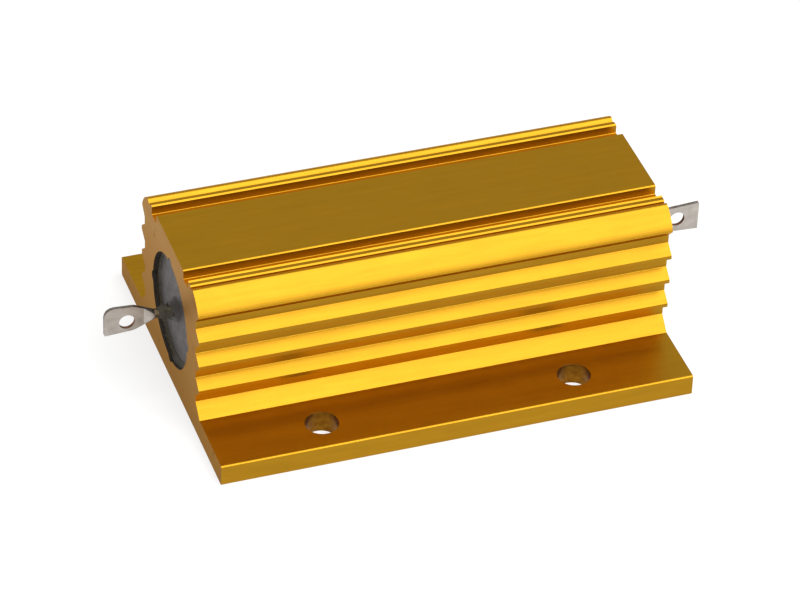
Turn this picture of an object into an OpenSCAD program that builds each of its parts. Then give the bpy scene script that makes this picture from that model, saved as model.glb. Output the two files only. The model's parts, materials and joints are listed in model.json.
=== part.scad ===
// Aluminium housed wirewound power resistor.
//
// A finned aluminium extrusion is bored from end to end and drilled for four
// mounting screws. The bore holds a ceramic rod with a winding of resistance
// wire, a metal cap on each end of the rod and a terminal on each cap. Potting
// fills the space around them, and a recessed cement seal closes each end.
//
// Millimetres. +X runs along the housing, +Y across it and +Z up.
// The origin is the centre of the underside.

/* [Housing] */
// Length of the extrusion
housing_l = 65.2; // [55:0.1:90]
// Height of the extrusion
housing_h = 22.3; // [21.6:0.1:26]
// Width of the mounting base
base_w = 46.6; // [42:0.1:60]
// Thickness of the mounting base
base_t = 3.1; // [2:0.1:3.8]
// Rounding of the outer edges of the base and of the flat on top
edge_r = 0.25; // [0.05:0.05:0.5]

/* [Mounting holes] */
// Diameter of a mounting hole
hole_d = 4.4; // [3:0.1:5]
// Distance between the holes along the housing
hole_pitch_x = 35; // [20:0.5:48]
// Distance between the holes across the housing
hole_pitch_y = 37; // [33.5:0.1:37.2]
// Chamfer at the mouth of each hole
hole_chamfer = 0.05; // [0.05:0.05:0.4]

/* [Fins] */
// Fins on each side, between the base and the shoulder
fin_count = 3; // [1:1:4]
// Width across the tips of the fins
fin_w = 26.4; // [25.4:0.1:27]
// Width across the valleys between the fins
valley_w = 23.5; // [22.8:0.1:24.2]
// Flat at the tip of a fin
fin_tip_t = 0.6; // [0.4:0.05:0.7]
// Fall of a fin's upper face from the valley to the tip
fin_fall = 1.2; // [1:0.05:1.45]
// Rise of a fin's lower face from the valley to the tip
fin_rise = 1; // [0.6:0.05:1.1]
// Rounding of the edges of a fin's tip
fin_tip_r = 0.12; // [0.05:0.01:0.2]
// Width across the foot, where it meets the base
foot_w = 27.2; // [26:0.1:28]
// Height of the sloping foot
foot_h = 1.85; // [1:0.05:2]

/* [Top] */
// Width of the flat on top
flat_w = 12.4; // [10:0.1:12.6]
// Depth of the groove on each side of the flat
groove_depth = 1.4; // [0.8:0.1:1.6]
// Width of that groove
groove_w = 2.1; // [1.5:0.05:2.3]
// Depth of the top of the rib below the flat
rib_depth = 0; // [0:0.05:0.3]
// Width of the rib outside the groove
rib_w = 1.1; // [0.9:0.05:1.3]
// Chamfer of each edge of the rib, and height of the step on it
rib_chamfer = 0.18; // [0.1:0.02:0.24]
// Depth of the floor of the channel outside the rib, below the flat
channel_depth = 0.65; // [0.5:0.05:0.9]
// Slope of the far side of that channel, in degrees
channel_slope = 50; // [45:1:65]
// Distance between the crests of the two shoulders
crest_w = 20.6; // [20.4:0.1:21.2]
// Rounding of the crest of a shoulder
crest_r = 0.6; // [0.4:0.05:0.7]
// Depth of the crest of a shoulder below the flat
shoulder_depth = 0.1; // [0:0.05:0.3]
// Radius of the outer face of a shoulder
shoulder_r = 5; // [4.4:0.1:6]
// Width across the lower edges of the shoulders
shoulder_w = 25.9; // [25.4:0.1:26.4]
// Height of a shoulder at its lower edge, from the flat down
shoulder_h = 2.9; // [2.7:0.05:3.2]
// Fall of the underside of a shoulder from its lower edge to the valley
shoulder_fall = 1.3; // [1:0.05:1.4]

/* [Bore] */
// Diameter of the bore
bore_d = 15.8; // [14.8:0.1:16.4]
// Height of the axis of the bore above the underside
axis_z = 11.15; // [10.8:0.05:11.6]
// Radius of each of the four keying grooves in the bore
key_r = 0.9; // [0.6:0.1:1.1]
// Depth of each keying groove
key_depth = 0.55; // [0.3:0.05:0.8]

/* [Resistance element] */
// Diameter of the ceramic rod
rod_d = 9.2; // [8:0.1:10.4]
// Length of the ceramic rod
rod_l = 46; // [36:0.5:48]
// Diameter of the resistance wire
wire_d = 0.8; // [0.4:0.05:1]
// Turns of resistance wire
wire_turns = 14; // [8:1:20]
// Thickness of an end cap
cap_t = 0.6; // [0.3:0.05:0.8]
// Length of rod inside an end cap
cap_grip = 5; // [3:0.5:7]

/* [Terminals] */
// Diameter of the head that is welded to the end cap
head_d = 4.4; // [3:0.1:6]
// Thickness of that head
head_t = 0.8; // [0.4:0.1:1.2]
// Diameter of the round pin
pin_d = 1.3; // [1:0.05:1.6]
// Reach of the left terminal beyond the end of the housing
left_reach = 9; // [8.4:0.1:12]
// Reach of the right terminal beyond the end of the housing
right_reach = 9.3; // [8.4:0.1:12]
// Length of round pin that shows beyond the end of the housing
pin_show = 2.2; // [1.9:0.1:2.6]
// Length over which the pin is flattened into the lug
flatten_l = 1.4; // [1:0.1:1.6]
// Thickness of the lug
lug_t = 0.5; // [0.4:0.05:0.8]
// Width of the lug at its outer end
lug_w = 4.3; // [4:0.1:4.8]
// Width of the lug where it flares from the pin
lug_neck_w = 3.8; // [3.4:0.1:4]
// Distance from the end of the round pin to where that flare ends
lug_flare_l = 2.7; // [2.5:0.1:3]
// Rounding of the edges of the lug where that flare ends
lug_flare_r = 2; // [0.5:0.1:3]
// Diameter of the eye in the lug
eye_d = 2.15; // [1.6:0.05:2.4]
// Distance from the end of the lug to the centre of its eye
eye_inset = 3.1; // [2.6:0.1:3.3]
// Distance of the left eye below the middle of its lug
left_eye_drop = 0.4; // [0:0.05:0.5]
// Rounding of the upper outer corner of the left lug
left_corner_r = 1.3; // [0.1:0.1:1.6]
// Rounding of the lug's other outer corners
lug_corner_r = 0.15; // [0.05:0.05:0.5]

/* [Seals] */
// Depth of a seal inside the end of the housing
seal_recess = 0.9; // [0.5:0.1:1.5]
// Thickness of a seal
seal_t = 3; // [2:0.1:3.4]
// Diameter of the collar of cement around the pin, at its foot
collar_d = 3.6; // [2.4:0.1:5]
// Diameter of that collar at its tip
collar_tip_d = 1.8; // [1.7:0.1:2.2]
// Height of that collar
collar_h = 1.2; // [0.6:0.1:1.4]

/* [Clearances] */
// Gap between each inner piece and what it sits in
fit_gap = 0.03; // [0.01:0.01:0.05]
// Gap between the resistance wire and the rod
wire_gap = 0.12; // [0.1:0.01:0.2]

/* [Hidden] */

// Margin by which a cutting tool passes through what it cuts.
cut = 1;
// Facets of an arc that rounds a corner, of a shoulder and of a full circle.
arc_steps = 4;
shoulder_steps = 12;
round_fn = 96;
// Facets of the round end of a hull.
hull_fn = 32;
// Longest share of a side that a rounded corner may take.
corner_share = 0.45;
// Segments per turn and sides of the wire.
turn_steps = 16;
wire_sides = 6;

end_x = housing_l / 2;
bore_r = bore_d / 2;

// The fins stand on the foot, and the valleys share the height that is left.
foot_z = base_t + foot_h;
fin_h = fin_fall + fin_tip_t + fin_rise;
shoulder_z = housing_h - shoulder_h;
under_z = shoulder_z - shoulder_fall;
valley_h = (under_z - foot_z - fin_count * fin_h) / (fin_count + 1);

// Distances from the middle of the profile to the features of the top.
groove_in_y = flat_w / 2;
groove_out_y = groove_in_y + groove_w;
rib_top_z = housing_h - rib_depth;
rib_out_y = groove_out_y + rib_w;
channel_z = housing_h - channel_depth;

// The crest is an arc that runs from the channel's sloping side onto the
// larger arc of the shoulder, which ends at the shoulder's lower edge.
crest_z = housing_h - shoulder_depth;
crest_centre = [crest_w / 2, crest_z - crest_r];
crest_in = crest_centre + crest_r * [-sin(channel_slope), cos(channel_slope)];
channel_out_y = crest_in[0] - (crest_in[1] - channel_z) / tan(channel_slope);
shoulder_edge = [shoulder_w / 2, shoulder_z];
shoulder_centre = arc_centre(crest_centre, shoulder_r - crest_r, shoulder_edge, shoulder_r);
crest_lean = atan2(crest_centre[0] - shoulder_centre[0], crest_centre[1] - shoulder_centre[1]);
edge_lean = atan2(shoulder_edge[0] - shoulder_centre[0], shoulder_edge[1] - shoulder_centre[1]);
// The arc of the shoulder stops one step short of the arc of the crest.
lean_step = (edge_lean - crest_lean) / shoulder_steps;

// Distances along X from the middle of the housing.
seal_out_x = end_x - seal_recess;
seal_in_x = seal_out_x - seal_t;
rod_end_x = rod_l / 2;
cap_rim_x = rod_end_x - cap_grip;
cap_end_x = rod_end_x + cap_t;
head_end_x = cap_end_x + head_t;
flatten_x = end_x + pin_show;
blade_x = flatten_x + flatten_l;

// Radii about the axis of the bore.
rod_r = rod_d / 2;
cap_r = rod_r + fit_gap + cap_t;
coil_r = rod_r + wire_gap + wire_d / 2;
coil_outer_r = coil_r + wire_d / 2;

// Points of an arc of radius r that rounds corner p between neighbours a and b.
function rounded_corner(a, p, b, r) =
    let (
        u = (a - p) / norm(a - p),
        v = (b - p) / norm(b - p),
        half = acos(max(-1, min(1, u * v))) / 2,
        reach = min(r / tan(half), norm(a - p) * corner_share, norm(b - p) * corner_share),
        radius = reach * tan(half),
        centre = p + (u + v) / norm(u + v) * radius / sin(half),
        from = p + u * reach - centre,
        side = sign(u[0] * v[1] - u[1] * v[0]),
        sweep = side * (2 * half - 180)
    )
    [
        for (i = [0:arc_steps])
            let (t = sweep * i / arc_steps)
            centre + [
                from[0] * cos(t) - from[1] * sin(t),
                from[0] * sin(t) + from[1] * cos(t),
            ]
    ];

// An outline from corners [x, y, rounding], where a rounding of 0 is sharp.
function rounded_outline(corners) = [
    for (i = [0:len(corners) - 1])
        let (
            n = len(corners),
            before = corners[(i + n - 1) % n],
            here = corners[i],
            after = corners[(i + 1) % n],
            p = [here[0], here[1]]
        )
        each here[2] == 0
            ? [p]
            : rounded_corner([before[0], before[1]], p, [after[0], after[1]], here[2])
];

// The point at distance pr from p and qr from q, below the line from p to q.
function arc_centre(p, pr, q, qr) =
    let (
        d = norm(q - p),
        u = (q - p) / d,
        t = (pr ^ 2 - qr ^ 2 + d ^ 2) / (2 * d),
        h = sqrt(pr ^ 2 - t ^ 2)
    )
    p + t * u + h * [u[1], -u[0]];

// Points of an arc about c, between two leans of its radius from straight up.
function arc_points(c, r, from, to, steps) = [
    for (i = [0:steps])
        let (t = from + (to - from) * i / steps)
        [c[0] + r * sin(t), c[1] + r * cos(t), 0]
];

// Corners of fin i, counted up from the foot, as [y, z, rounding].
function fin_corners(i) =
    let (z = foot_z + valley_h + i * (fin_h + valley_h))
    [
        [valley_w / 2, z, fin_tip_r],
        [fin_w / 2, z + fin_rise, fin_tip_r],
        [fin_w / 2, z + fin_rise + fin_tip_t, fin_tip_r],
        [valley_w / 2, z + fin_h, fin_tip_r],
    ];

// Corners of the right half of the profile, from the underside up to the flat.
profile_corners = [
    [base_w / 2, 0, edge_r],
    [base_w / 2, base_t, edge_r],
    [foot_w / 2, base_t, edge_r],
    [valley_w / 2, foot_z, fin_tip_r],
    for (i = [0:fin_count - 1]) each fin_corners(i),
    [valley_w / 2, under_z, fin_tip_r],
    each arc_points(
        shoulder_centre, shoulder_r, edge_lean, crest_lean + lean_step, shoulder_steps - 1),
    each arc_points(crest_centre, crest_r, crest_lean, -channel_slope, 2 * arc_steps),
    [channel_out_y, channel_z, 0],
    [rib_out_y, channel_z, 0],
    [rib_out_y, rib_top_z - 2 * rib_chamfer, 0],
    [rib_out_y - rib_chamfer, rib_top_z - rib_chamfer, 0],
    [groove_out_y + 2 * rib_chamfer, rib_top_z - rib_chamfer, 0],
    [groove_out_y + rib_chamfer, rib_top_z, 0],
    [groove_out_y, rib_top_z - rib_chamfer, 0],
    [groove_out_y, housing_h - groove_depth, fin_tip_r],
    [groove_in_y, housing_h - groove_depth, fin_tip_r],
    [groove_in_y, housing_h, edge_r],
];

module profile() {
    n = len(profile_corners);
    left_corners = [
        for (i = [n - 1:-1:0])
            let (c = profile_corners[i])
            [-c[0], c[1], c[2]]
    ];
    polygon(rounded_outline(concat(profile_corners, left_corners)));
}

// Section of the bore with its keying grooves, made smaller by gap all round.
module bore_section(gap) {
    circle(r = bore_r - gap, $fn = round_fn);
    for (a = [0:90:270])
        rotate(a)
            translate([bore_r + key_depth - key_r, 0])
                circle(r = key_r - gap, $fn = round_fn / 2);
}

// Places children on the axis of the bore, with their Z along +X.
module on_axis(x) {
    translate([x, 0, axis_z])
        rotate([90, 0, 90])
            children();
}

// Mirrors children, which are drawn for the right end, to end -1 or +1.
module at_end(end) {
    mirror([end < 0 ? 1 : 0, 0, 0])
        children();
}

module mounting_hole() {
    mouth_r = hole_d / 2 + hole_chamfer;
    translate([0, 0, -cut])
        cylinder(d = hole_d, h = base_t + 2 * cut, $fn = round_fn);
    translate([0, 0, base_t - hole_chamfer])
        cylinder(r1 = hole_d / 2, r2 = mouth_r, h = hole_chamfer, $fn = round_fn);
    translate([0, 0, base_t])
        cylinder(r = mouth_r, h = cut, $fn = round_fn);
}

module housing() {
    color([0.85, 0.63, 0.13])
        difference() {
            rotate([90, 0, 90])
                linear_extrude(height = housing_l, center = true)
                    profile();
            on_axis(-end_x - cut)
                linear_extrude(height = housing_l + 2 * cut)
                    bore_section(0);
            for (x = [-1, 1], y = [-1, 1])
                translate([x * hole_pitch_x / 2, y * hole_pitch_y / 2, 0])
                    mounting_hole();
        }
}

module core_rod() {
    color([0.9, 0.88, 0.82])
        on_axis(-rod_end_x)
            cylinder(r = rod_r, h = rod_l, $fn = round_fn);
}

// The wire is one helix between the rims of the two caps.
module winding() {
    coil_l = 2 * (cap_rim_x - fit_gap) - wire_d;
    steps = wire_turns * turn_steps;
    lead = coil_l / wire_turns / (2 * PI * coil_r);
    rings = [
        for (i = [0:steps])
            let (
                a = 360 * i / turn_steps,
                out = [0, cos(a), sin(a)],
                along = [-1, -lead * sin(a), lead * cos(a)] / norm([1, lead]),
                centre = [coil_l * (i / steps - 0.5), coil_r * cos(a), coil_r * sin(a) + axis_z]
            )
            for (j = [0:wire_sides - 1])
                let (b = 360 * (j + 0.5) / wire_sides)
                centre + wire_d / 2 * (cos(b) * out + sin(b) * along)
    ];
    walls = [
        for (i = [0:steps - 1], j = [0:wire_sides - 1])
            let (
                k = (j + 1) % wire_sides,
                near = i * wire_sides,
                far = near + wire_sides
            )
            each [[near + j, far + j, far + k], [near + j, far + k, near + k]]
    ];
    first = [for (j = [0:wire_sides - 1]) j];
    last = [for (j = [wire_sides - 1:-1:0]) steps * wire_sides + j];
    color([0.62, 0.58, 0.55])
        polyhedron(points = rings, faces = concat(walls, [first, last]));
}

module end_cap(end) {
    color([0.75, 0.75, 0.77])
        at_end(end)
            difference() {
                on_axis(cap_rim_x)
                    cylinder(r = cap_r, h = cap_end_x - cap_rim_x, $fn = round_fn);
                on_axis(cap_rim_x - cut)
                    cylinder(r = rod_r + fit_gap, h = cap_grip + cut, $fn = round_fn);
            }
}

// The potting is cast around the element and closed by the seals.
module potting() {
    color([0.3, 0.29, 0.28])
        difference() {
            on_axis(-seal_in_x)
                linear_extrude(height = 2 * seal_in_x)
                    bore_section(fit_gap);
            on_axis(-cap_rim_x)
                cylinder(r = coil_outer_r + fit_gap, h = 2 * cap_rim_x, $fn = round_fn);
            on_axis(-cap_end_x)
                cylinder(r = cap_r + fit_gap, h = 2 * cap_end_x, $fn = round_fn);
            on_axis(-head_end_x)
                cylinder(r = head_d / 2 + fit_gap, h = 2 * head_end_x, $fn = round_fn);
            on_axis(-seal_in_x - cut)
                cylinder(r = pin_d / 2 + fit_gap, h = 2 * (seal_in_x + cut), $fn = round_fn);
        }
}

// Half the width of the lug where its blade begins, part way up the flare.
blade_start_w = (pin_d + (lug_neck_w - pin_d) * flatten_l / lug_flare_l) / 2;

// Outline of the flat blade, drawn as [x, z] about the axis.
module blade_outline(tip_x, corner_r) {
    polygon(rounded_outline([
        [blade_x, -blade_start_w, 0],
        [flatten_x + lug_flare_l, -lug_neck_w / 2, lug_flare_r],
        [tip_x, -lug_w / 2, lug_corner_r],
        [tip_x, lug_w / 2, corner_r],
        [flatten_x + lug_flare_l, lug_neck_w / 2, lug_flare_r],
        [blade_x, blade_start_w, 0],
    ]));
}

// A headed pin, flattened outside the housing into a lug with an eye.
module terminal(end, reach, corner_r, eye_drop) {
    tip_x = end_x + reach;
    color([0.72, 0.71, 0.69])
        at_end(end)
            difference() {
                union() {
                    on_axis(cap_end_x)
                        cylinder(d = head_d, h = head_t, $fn = round_fn);
                    on_axis(head_end_x)
                        cylinder(d = pin_d, h = flatten_x - head_end_x, $fn = round_fn);
                    pin_to_blade();
                    translate([0, lug_t / 2, axis_z])
                        rotate([90, 0, 0])
                            linear_extrude(height = lug_t)
                                blade_outline(tip_x, corner_r);
                }
                translate([tip_x - eye_inset, 0, axis_z - eye_drop])
                    rotate([90, 0, 0])
                        cylinder(d = eye_d, h = lug_t + 2 * cut, center = true, $fn = round_fn);
            }
}

// The stretch where the round pin is pressed flat.
module pin_to_blade() {
    slice = 0.02;
    hull() {
        on_axis(flatten_x - slice)
            cylinder(d = pin_d, h = slice, $fn = hull_fn);
        translate([blade_x, -lug_t / 2, axis_z - blade_start_w])
            cube([slice, lug_t, 2 * blade_start_w]);
    }
}

// A plug of cement with a collar that climbs the pin.
module end_seal(end) {
    color([0.42, 0.4, 0.39])
        at_end(end)
            difference() {
                union() {
                    on_axis(seal_in_x)
                        linear_extrude(height = seal_t)
                            bore_section(fit_gap);
                    on_axis(seal_out_x)
                        cylinder(d1 = collar_d, d2 = collar_tip_d, h = collar_h, $fn = round_fn);
                }
                on_axis(seal_in_x - cut)
                    cylinder(r = pin_d / 2 + fit_gap, h = seal_t + collar_h + 2 * cut, $fn = round_fn);
            }
}

housing();
core_rod();
winding();
potting();
end_cap(-1);  // end_cap_left
end_cap(1);  // end_cap_right
terminal(-1, left_reach, left_corner_r, left_eye_drop);  // terminal_left
terminal(1, right_reach, lug_corner_r, 0);  // terminal_right
end_seal(-1);  // end_seal_left
end_seal(1);  // end_seal_right
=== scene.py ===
"""Aluminium housed wirewound power resistor: materials, lighting and camera."""

import json
import math

import bmesh
import bpy
from mathutils import Matrix, Vector
from mathutils import noise as field


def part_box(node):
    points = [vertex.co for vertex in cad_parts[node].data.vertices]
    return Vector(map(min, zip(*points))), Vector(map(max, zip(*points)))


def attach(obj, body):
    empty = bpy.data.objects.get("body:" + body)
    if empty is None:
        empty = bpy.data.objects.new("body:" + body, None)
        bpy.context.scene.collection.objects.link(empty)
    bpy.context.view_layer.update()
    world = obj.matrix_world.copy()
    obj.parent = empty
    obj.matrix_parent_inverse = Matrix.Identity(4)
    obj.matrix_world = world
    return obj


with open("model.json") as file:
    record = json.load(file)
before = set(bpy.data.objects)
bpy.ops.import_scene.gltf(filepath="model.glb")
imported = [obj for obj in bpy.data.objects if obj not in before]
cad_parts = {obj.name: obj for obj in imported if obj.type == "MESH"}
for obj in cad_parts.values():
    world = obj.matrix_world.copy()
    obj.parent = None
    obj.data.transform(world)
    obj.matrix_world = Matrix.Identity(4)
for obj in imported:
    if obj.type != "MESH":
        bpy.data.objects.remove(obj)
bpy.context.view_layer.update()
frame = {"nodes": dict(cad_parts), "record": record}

scene = bpy.context.scene
nodes = frame["nodes"]
mounts = {mount["name"]: mount for mount in frame["record"]["mounts"]}
housing_low, housing_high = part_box("housing")
axis = (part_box("core_rod")[0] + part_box("core_rod")[1]) / 2

MM = 0.001
# The stain on a pin fades out between these distances from the middle of the part.
STAIN_FROM, STAIN_TO = 34.7 * MM, 35.2 * MM
# Height at which the painted shade on the sawn ends, darker and more golden towards the base,
# stops changing.
PAINTED_SHADE_TOP = 22 * MM
# A radius that takes in the bore and its keying grooves, and no other wall.
BORE_REACH = 8.7 * MM
# Radius of the wall of the bore, less a hair.
WALL_R = 7.87 * MM
# Height of the collar on each end seal.
COLLAR_H = 1.2 * MM
# How far the cement's skins start inside the face of the seal.
SUNK = 0.05 * MM
# The cut edges of a lug start this far inwards of its eye.
EDGE_REACH = 2.2 * MM


# ---------------------------------------------------------------- materials


def new_material(name):
    mat = bpy.data.materials.new(name)
    mat.use_nodes = True
    tree = mat.node_tree
    tree.nodes.clear()
    out = tree.nodes.new("ShaderNodeOutputMaterial")
    bsdf = tree.nodes.new("ShaderNodeBsdfPrincipled")
    tree.links.new(bsdf.outputs["BSDF"], out.inputs["Surface"])
    return mat, tree, bsdf


def node(tree, kind, **inputs):
    """A new node, with its inputs set by name."""
    made = tree.nodes.new(kind)
    for key, value in inputs.items():
        made.inputs[key].default_value = value
    return made


def math_node(tree, operation, *links):
    """The output of a Math node over one or two linked values."""
    made = tree.nodes.new("ShaderNodeMath")
    made.operation = operation
    for i, link in enumerate(links):
        tree.links.new(link, made.inputs[i])
    return made.outputs[0]


def mapped(tree, scale, rotation=(0, 0, 0)):
    """Object coordinates stretched by scale, which is in features per metre."""
    coords = tree.nodes.new("ShaderNodeTexCoord")
    mapping = tree.nodes.new("ShaderNodeMapping")
    mapping.inputs["Scale"].default_value = scale
    mapping.inputs["Rotation"].default_value = rotation
    tree.links.new(coords.outputs["Object"], mapping.inputs["Vector"])
    return mapping.outputs["Vector"]


def noise(tree, vector, scale=1.0, detail=3.0, roughness=0.55):
    made = node(tree, "ShaderNodeTexNoise", Scale=scale, Detail=detail, Roughness=roughness)
    tree.links.new(vector, made.inputs["Vector"])
    return made.outputs["Fac"]


def ramp(tree, fac, stops):
    """A colour ramp over fac with (position, colour or grey) stops."""
    made = tree.nodes.new("ShaderNodeValToRGB")
    elements = made.color_ramp.elements
    while len(elements) > 1:
        elements.remove(elements[-1])
    for i, (at, value) in enumerate(stops):
        element = elements[0] if i == 0 else elements.new(at)
        element.position = at
        colour = (value,) * 3 if isinstance(value, (int, float)) else tuple(value)
        element.color = (*colour, 1)
    tree.links.new(fac, made.inputs["Fac"])
    return made.outputs["Color"]


def mix(tree, fac, a, b, blend="MIX"):
    """Colour a mixed with b by fac; each may be an output or a value."""
    made = tree.nodes.new("ShaderNodeMix")
    made.data_type = "RGBA"
    made.blend_type = blend
    for socket, value in (
        (made.inputs[0], fac),
        (made.inputs[6], a),
        (made.inputs[7], b),
    ):
        if isinstance(value, bpy.types.NodeSocket):
            tree.links.new(value, socket)
        elif isinstance(value, (int, float)):
            socket.default_value = value
        else:
            socket.default_value = (*value, 1)
    return made.outputs[2]


def bump(tree, bsdf, height, strength, distance):
    made = node(tree, "ShaderNodeBump", Strength=strength, Distance=distance)
    tree.links.new(height, made.inputs["Height"])
    tree.links.new(made.outputs["Normal"], bsdf.inputs["Normal"])


def gold():
    """Gold anodised extrusion with fine die lines along X, under a clear anodic layer."""
    mat, tree, bsdf = new_material("gold_anodised")
    lines = noise(tree, mapped(tree, (45, 5200, 5200)), detail=4, roughness=0.7)
    streaks = noise(tree, mapped(tree, (110, 1300, 1300)), detail=4)
    blotches = noise(tree, mapped(tree, (240, 420, 420)), detail=4)
    shade = ramp(tree, streaks, [(0.3, (0.370, 0.187, 0.0045)), (0.7, (0.405, 0.209, 0.0065))])
    tone = ramp(tree, blotches, [(0.35, (0.96, 0.95, 0.94)), (0.65, (1, 1, 1))])
    tree.links.new(mix(tree, 1.0, shade, tone, "MULTIPLY"), bsdf.inputs["Base Color"])
    rough = ramp(tree, lines, [(0.3, 0.31), (0.7, 0.37)])
    tree.links.new(rough, bsdf.inputs["Roughness"])
    bsdf.inputs["Metallic"].default_value = 1.0
    bsdf.inputs["Specular Tint"].default_value = (1.0, 0.70, 0.35, 1)
    bsdf.inputs["Coat Weight"].default_value = 0.16
    bsdf.inputs["Coat Roughness"].default_value = 0.28
    bump(tree, bsdf, lines, 0.035, 0.00002)
    return mat


def along(tree, which, start, end):
    """A value that runs from 0 at start to 1 at end along one axis, either side of the origin."""
    coords = tree.nodes.new("ShaderNodeTexCoord")
    split = tree.nodes.new("ShaderNodeSeparateXYZ")
    tree.links.new(coords.outputs["Object"], split.inputs[0])
    scaled = tree.nodes.new("ShaderNodeMapRange")
    scaled.inputs["From Min"].default_value = start
    scaled.inputs["From Max"].default_value = end
    distance = math_node(tree, "ABSOLUTE", split.outputs[which])
    tree.links.new(distance, scaled.inputs["Value"])
    return scaled.outputs["Result"]


def sawn():
    """The sawn ends: tan with faint scuffs, and painted shade that makes them duller and more
    golden towards the base.
    """
    mat, tree, bsdf = new_material("sawn_ends")
    lines = noise(tree, mapped(tree, (2000, 90, 2600)), detail=3)
    blotches = noise(tree, mapped(tree, (120, 120, 120)), detail=4)
    scuffs = noise(tree, mapped(tree, (300, 900, 260), (0.6, 0, 0)), detail=2)
    shade = ramp(tree, lines, [(0.3, (0.36, 0.205, 0.080)), (0.7, (0.40, 0.24, 0.100))])
    tone = ramp(tree, blotches, [(0.35, (0.88, 0.80, 0.66)), (0.65, (1, 1, 1))])
    # Painted shade: the sawn ends darken and turn more golden towards the base.
    rise = along(tree, "Z", 0, PAINTED_SHADE_TOP)
    height = ramp(tree, rise, [(0.1, (0.78, 0.68, 0.44)), (0.9, (1.05, 1.05, 1.08))])
    scuffed = ramp(tree, scuffs, [(0.66, (1, 1, 1)), (0.72, (0.72, 0.70, 0.68))])
    colour = mix(tree, 1.0, shade, tone, "MULTIPLY")
    colour = mix(tree, 1.0, colour, height, "MULTIPLY")
    colour = mix(tree, 1.0, colour, scuffed, "MULTIPLY")
    tree.links.new(colour, bsdf.inputs["Base Color"])
    rough = ramp(tree, blotches, [(0.3, 0.38), (0.7, 0.50)])
    tree.links.new(rough, bsdf.inputs["Roughness"])
    bsdf.inputs["Metallic"].default_value = 1.0
    bsdf.inputs["Specular Tint"].default_value = (0.84, 0.66, 0.46, 1)
    bump(tree, bsdf, lines, 0.10, 0.00002)
    return mat


def cement():
    """Grey sealing cement, slightly mottled and satin."""
    mat, tree, bsdf = new_material("cement")
    grains = noise(tree, mapped(tree, (1400, 1400, 1400)), detail=5)
    streaks = noise(tree, mapped(tree, (220, 330, 160)), detail=3)
    shade = ramp(tree, streaks, [(0.32, (0.046, 0.037, 0.031)), (0.62, (0.118, 0.102, 0.095))])
    tone = ramp(tree, grains, [(0.35, 0.78), (0.7, 1.0)])
    tree.links.new(mix(tree, 1.0, shade, tone, "MULTIPLY"), bsdf.inputs["Base Color"])
    tree.links.new(ramp(tree, grains, [(0.3, 0.42), (0.7, 0.66)]), bsdf.inputs["Roughness"])
    bump(tree, bsdf, grains, 0.3, 0.00006)
    return mat


def residue_and_shade(name, dark, light):
    """Dark and grainy with paler grains: lumpy cement for the lumps, and painted shade for the
    wall of the bore.
    """
    mat, tree, bsdf = new_material(name)
    grains = noise(tree, mapped(tree, (2600, 2600, 2600)), detail=4)
    shade = ramp(tree, grains, [(0.42, dark), (0.6, light), (0.74, [3 * c for c in light])])
    tree.links.new(shade, bsdf.inputs["Base Color"])
    tree.links.new(ramp(tree, grains, [(0.3, 0.5), (0.7, 0.8)]), bsdf.inputs["Roughness"])
    bump(tree, bsdf, grains, 0.4, 0.0001)
    return mat


def tinned():
    """Dull tinned terminal metal, stained brown where the pin leaves the cement."""
    mat, tree, bsdf = new_material("tinned")
    cloud = noise(tree, mapped(tree, (700, 700, 700)), detail=4)
    streaks = noise(tree, mapped(tree, (250, 2500, 2500)), detail=2)
    shade = ramp(tree, cloud, [(0.3, (0.37, 0.335, 0.295)), (0.7, (0.50, 0.465, 0.425))])
    stain = ramp(tree, cloud, [(0.35, (0.07, 0.05, 0.024)), (0.65, (0.24, 0.19, 0.13))])
    clean = along(tree, "X", STAIN_FROM, STAIN_TO)
    tree.links.new(mix(tree, clean, stain, shade), bsdf.inputs["Base Color"])
    tree.links.new(ramp(tree, streaks, [(0.3, 0.30), (0.7, 0.44)]), bsdf.inputs["Roughness"])
    bsdf.inputs["Metallic"].default_value = 1.0
    bump(tree, bsdf, cloud, 0.15, 0.00004)
    return mat


def plain(name, low, high, scale, roughness, metallic=0.0):
    """A matt or metallic finish that varies between two colours."""
    mat, tree, bsdf = new_material(name)
    cloud = noise(tree, mapped(tree, (scale,) * 3), detail=4)
    tree.links.new(ramp(tree, cloud, [(0.35, low), (0.65, high)]), bsdf.inputs["Base Color"])
    rough = ramp(tree, cloud, [(0.3, roughness - 0.05), (0.7, roughness + 0.05)])
    tree.links.new(rough, bsdf.inputs["Roughness"])
    bsdf.inputs["Metallic"].default_value = metallic
    return mat


GOLD, SAWN, CEMENT, TINNED = gold(), sawn(), cement(), tinned()
CERAMIC = plain("ceramic", (0.62, 0.58, 0.50), (0.76, 0.73, 0.66), 600, 0.55)
WIRE = plain("wire", (0.30, 0.27, 0.24), (0.42, 0.38, 0.34), 900, 0.35, 1.0)
POTTING = plain("potting", (0.07, 0.065, 0.06), (0.12, 0.11, 0.10), 500, 0.6)
CAP = plain("cap_steel", (0.46, 0.46, 0.47), (0.6, 0.6, 0.61), 500, 0.35, 1.0)
CUT_EDGE = plain("cut_edge", (0.14, 0.12, 0.10), (0.26, 0.23, 0.20), 1500, 0.45, 1.0)
EYE_WALL = plain("eye_wall", (0.12, 0.05, 0.03), (0.24, 0.12, 0.07), 1500, 0.5, 0.8)
# Painted shade: the wall of the bore is painted near black all along.
BORE_SHADE = residue_and_shade("bore_wall_painted_shade", (0.017, 0.010, 0.005), (0.038, 0.024, 0.012))
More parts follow.
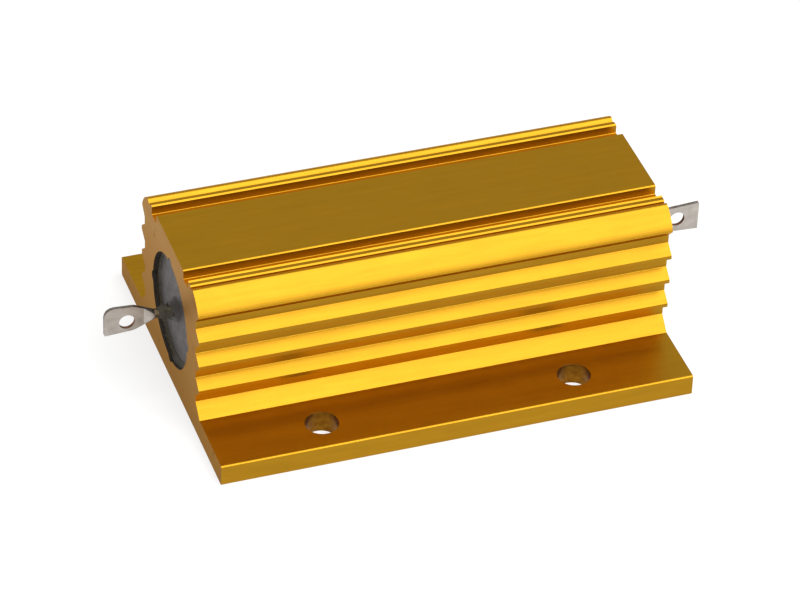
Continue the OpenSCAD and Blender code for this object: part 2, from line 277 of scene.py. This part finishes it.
# Painted shade: the walls of the base holes are painted darker than the gold, and their rims
# darker still.
HOLE_WALL_SHADE = plain("hole_wall_painted_shade", (0.17, 0.062, 0.004), (0.27, 0.12, 0.009), 1300, 0.36, 1.0)
HOLE_RIM_SHADE = plain("hole_rim_painted_shade", (0.07, 0.03, 0.006), (0.12, 0.055, 0.01), 1300, 0.5, 1.0)
LUMPS = residue_and_shade("lumps", (0.034, 0.025, 0.011), (0.075, 0.060, 0.036))


def paint(name, material):
    obj = nodes[name]
    obj.data.materials.clear()
    obj.data.materials.append(material)


for name, material in (
    ("housing", GOLD),
    ("core_rod", CERAMIC),
    ("winding", WIRE),
    ("potting", POTTING),
    ("end_cap_left", CAP),
    ("end_cap_right", CAP),
    ("terminal_left", TINNED),
    ("terminal_right", TINNED),
    ("end_seal_left", CEMENT),
    ("end_seal_right", CEMENT),
):
    paint(name, material)


def paint_faces(name, material, chosen):
    """Give one node's faces that a test picks a material of their own."""
    mesh = nodes[name].data
    mesh.materials.append(material)
    for face in mesh.polygons:
        if chosen(face.center, face.normal):
            face.material_index = len(mesh.materials) - 1


def off_axis(point):
    return math.hypot(point.y - axis.y, point.z - axis.z)


def is_sawn(point, normal):
    from_end = min(abs(point.x - housing_low.x), abs(point.x - housing_high.x))
    return abs(normal.x) > 0.99 and from_end < 0.01 * MM


def is_bore(point, normal):
    return abs(normal.x) < 0.5 and off_axis(point) < BORE_REACH


holes = mounts["base_holes"]["dims"]
hole_x, hole_y = (holes[key] / 2 * MM for key in ("spacing_x_mm", "spacing_y_mm"))


def off_hole(point):
    return math.hypot(abs(point.x) - hole_x, abs(point.y) - hole_y) - holes["hole_r_mm"] * MM


def is_hole_wall(point, normal):
    return abs(normal.z) < 0.3 and off_hole(point) < 0.02 * MM


def is_hole_rim(point, normal):
    return 0.3 < abs(normal.z) < 0.95 and off_hole(point) < 0.3 * MM


paint_faces("housing", SAWN, is_sawn)
# Painted shade on the walls and rims of the base holes.
paint_faces("housing", HOLE_WALL_SHADE, is_hole_wall)
paint_faces("housing", HOLE_RIM_SHADE, is_hole_rim)
# Painted shade on the wall of the bore.
paint_faces("housing", BORE_SHADE, is_bore)


def paint_lug(side):
    """The cut edges of a lug and the wall of its eye."""
    eye = mounts[side + "_eye"]
    eye_at, eye_r = Vector(eye["pos_m"]), eye["dims"]["r_mm"] * MM
    start = abs(eye_at.x) - EDGE_REACH

    def is_eye(point, normal):
        across = math.hypot(point.x - eye_at.x, point.z - eye_at.z)
        return abs(normal.y) < 0.5 and across < eye_r + 0.05 * MM

    def is_cut_edge(point, normal):
        return abs(normal.y) < 0.3 and abs(point.x) > start and not is_eye(point, normal)

    paint_faces("terminal_" + side, CUT_EDGE, is_cut_edge)
    paint_faces("terminal_" + side, EYE_WALL, is_eye)


for side in ("left", "right"):
    paint_lug(side)


# ------------------------------------------------------------ small details


def add_piece(name, bm, material):
    """A new smooth shaded piece of the object, carried by its one body."""
    bmesh.ops.recalc_face_normals(bm, faces=bm.faces)
    mesh = bpy.data.meshes.new(name)
    bm.to_mesh(mesh)
    bm.free()
    for face in mesh.polygons:
        face.use_smooth = True
    mesh.materials.append(material)
    obj = bpy.data.objects.new(name, mesh)
    scene.collection.objects.link(obj)
    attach(obj, "root")
    return obj


def ring_solid(name, rings, material, closed):
    """A skin over rings of points; it closes on itself, or ends in two caps."""
    bm = bmesh.new()
    verts = [[bm.verts.new(point) for point in ring] for ring in rings]
    count = len(rings[0])
    pairs = zip(verts, verts[1:] + verts[:1]) if closed else zip(verts, verts[1:])
    for a, b in pairs:
        for i in range(count):
            j = (i + 1) % count
            bm.faces.new((a[i], a[j], b[j], b[i]))
    if not closed:
        bm.faces.new(verts[0])
        bm.faces.new(verts[-1])
    return add_piece(name, bm, material)


def bumpy(point, size, seed):
    """A value from about -1 to 1 that varies over lengths of size."""
    return field.fractal(Vector(point) / size + Vector((seed, 0, 0)), 1.0, 2.0, 3)


def outwards(side):
    """The direction along X that leads out of the housing at one end."""
    return -1 if side == "left" else 1


def seal_face(side):
    """Where along X the face of an end seal lies, behind its collar."""
    sign = outwards(side)
    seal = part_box("end_seal_" + side)
    return (seal[0].x if sign < 0 else seal[1].x) - sign * COLLAR_H


def cement_fillet(side):
    """Cement that crept up the wall of the bore, lowest at the top and ragged all round."""
    sign = outwards(side)
    disc_x = seal_face(side)
    rings = []
    turn = 160
    for k in range(turn):
        angle = 2 * math.pi * k / turn
        y, z = math.sin(angle), math.cos(angle)
        rough = bumpy((y, z, 0), 0.35, 3 + sign)
        climb = (0.30 - 0.28 * z + 0.22 * rough) * MM
        creep = (0.55 - 0.30 * z + 0.35 * rough) * MM
        climb, creep = max(climb, 0.04 * MM), max(creep, 0.06 * MM)
        section = (
            (disc_x - sign * SUNK, WALL_R),
            (disc_x + sign * climb, WALL_R),
            (disc_x + sign * climb * 0.45, WALL_R - creep * 0.30),
            (disc_x + sign * climb * 0.15, WALL_R - creep * 0.65),
            (disc_x - sign * SUNK, WALL_R - creep),
        )
        rings.append([(x, axis.y + r * y, axis.z + r * z) for x, r in section])
    return ring_solid("cement_fillet_" + side, rings, LUMPS, closed=True)


def cement_lump(side, length, seed):
    """The ragged cement cone that wraps a pin where it leaves the seal."""
    sign = outwards(side)
    start = seal_face(side)
    rings = []
    steps, turn = 36, 48
    for i in range(steps + 1):
        t = i / steps
        x = start + sign * t * length
        radius = (0.78 + 0.62 * (1 - t) ** 1.8) * MM
        radius *= math.sqrt(max(0.02, 1 - t**8))
        ring = []
        for k in range(turn):
            angle = 2 * math.pi * k / turn
            y, z = math.sin(angle), math.cos(angle)
            ragged = bumpy((x / MM, 1.3 * y, 1.3 * z), 0.9, seed)
            r = max(radius * (1 + 0.28 * ragged), 0.3 * MM)
            ring.append((x + 0.25 * MM * ragged * t, axis.y + r * y, axis.z + r * z))
        rings.append(ring)
    return ring_solid("cement_lump_" + side, rings, LUMPS, closed=False)


for side, length, seed in (("left", 2.9 * MM, 11), ("right", 2.2 * MM, 29)):
    cement_fillet(side)
    cement_lump(side, length, seed)


# ------------------------------------------------------- floor and lighting


def softbox(name, centre, facing, width, height, radiance):
    """A rectangular lamp that faces a point and looks equally bright all over."""
    lamp = bpy.data.lights.new(name, "AREA")
    lamp.shape = "RECTANGLE"
    lamp.size = width
    lamp.size_y = height
    lamp.energy = radiance * math.pi * width * height
    obj = bpy.data.objects.new(name, lamp)
    scene.collection.objects.link(obj)
    obj.location = centre
    obj.rotation_euler = (Vector(facing) - Vector(centre)).to_track_quat("-Z", "Y").to_euler()
    obj.visible_camera = False
    return obj


def seen_as_background(tree, lit, seen):
    """The shader seen, for rays that look straight or by reflection, and lit for all others."""
    path = tree.nodes.new("ShaderNodeLightPath")
    looks = path.outputs["Is Camera Ray"]
    for kind in ("Is Glossy Ray", "Is Transmission Ray"):
        looks = math_node(tree, "MAXIMUM", looks, path.outputs[kind])
    chosen = tree.nodes.new("ShaderNodeMixShader")
    tree.links.new(looks, chosen.inputs[0])
    tree.links.new(lit, chosen.inputs[1])
    tree.links.new(seen, chosen.inputs[2])
    return chosen.outputs[0]


def floor():
    """A pale floor, which the camera sees lifted to white around the soft shadow."""
    size = 1.6
    mesh = bpy.data.meshes.new("floor")
    z = housing_low.z
    mesh.from_pydata(
        [(-size, -size, z), (size, -size, z), (size, size, z), (-size, size, z)],
        [],
        [(0, 1, 2, 3)],
    )
    obj = bpy.data.objects.new("floor", mesh)
    scene.collection.objects.link(obj)
    mat, tree, bsdf = new_material("floor")
    grain = noise(tree, mapped(tree, (8, 8, 8)), detail=2)
    tree.links.new(ramp(tree, grain, [(0, 0.34), (1, 0.36)]), bsdf.inputs["Base Color"])
    bsdf.inputs["Roughness"].default_value = 0.9
    bsdf.inputs["Specular IOR Level"].default_value = 0.0
    lift = node(tree, "ShaderNodeEmission", Strength=0.72)
    added = tree.nodes.new("ShaderNodeAddShader")
    tree.links.new(bsdf.outputs["BSDF"], added.inputs[0])
    tree.links.new(lift.outputs[0], added.inputs[1])
    out = tree.nodes["Material Output"]
    shown = seen_as_background(tree, bsdf.outputs["BSDF"], added.outputs[0])
    tree.links.new(shown, out.inputs["Surface"])
    mesh.materials.append(mat)
    return obj


def studio():
    """A room of dim, even light whose walls look white."""
    world = bpy.data.worlds.new("studio")
    scene.world = world
    world.use_nodes = True
    tree = world.node_tree
    tree.nodes.clear()
    room = node(tree, "ShaderNodeBackground", Color=(1, 1, 1, 1), Strength=0.22)
    white = node(tree, "ShaderNodeBackground", Color=(1, 1, 1, 1), Strength=0.74)
    out = tree.nodes.new("ShaderNodeOutputWorld")
    shown = seen_as_background(tree, room.outputs[0], white.outputs[0])
    tree.links.new(shown, out.inputs["Surface"])


floor()
studio()

# Both lamps stand to the right of the part, where its upper faces reflect them.
LAMP_X = 0.37
LAMP_WIDTH = 1.3
RADIANCE = 3.2
softbox("front", (LAMP_X, -1.1, 0.72), (LAMP_X, 0, 0.72), LAMP_WIDTH, 0.98, RADIANCE)
softbox("top", (LAMP_X, -0.4, 1.22), (LAMP_X, -0.4, 0), LAMP_WIDTH, 1.4, RADIANCE)

# ------------------------------------------------------------------- camera

camera = bpy.data.objects.new("camera", bpy.data.cameras.new("camera"))
scene.collection.objects.link(camera)
scene.camera = camera
AZIMUTH, ELEVATION, ROLL = (math.radians(a) for a in (20.067, 37.759, 2.145))
DISTANCE = 0.5891
AIM = Vector((-0.000571, 0, 0.005817))
forward = Vector(
    (
        math.sin(AZIMUTH) * math.cos(ELEVATION),
        math.cos(AZIMUTH) * math.cos(ELEVATION),
        -math.sin(ELEVATION),
    )
)
level = Vector((math.cos(AZIMUTH), -math.sin(AZIMUTH), 0))
upright = level.cross(forward)
right = math.cos(ROLL) * level + math.sin(ROLL) * upright
up = -math.sin(ROLL) * level + math.cos(ROLL) * upright
camera.matrix_world = Matrix.Translation(AIM - DISTANCE * forward) @ Matrix(
    (right, up, -forward)
).transposed().to_4x4()
camera.data.sensor_width = 36
camera.data.lens = 198.17
camera.data.clip_start = 0.01
camera.data.clip_end = 10

scene.view_settings.view_transform = "Standard"
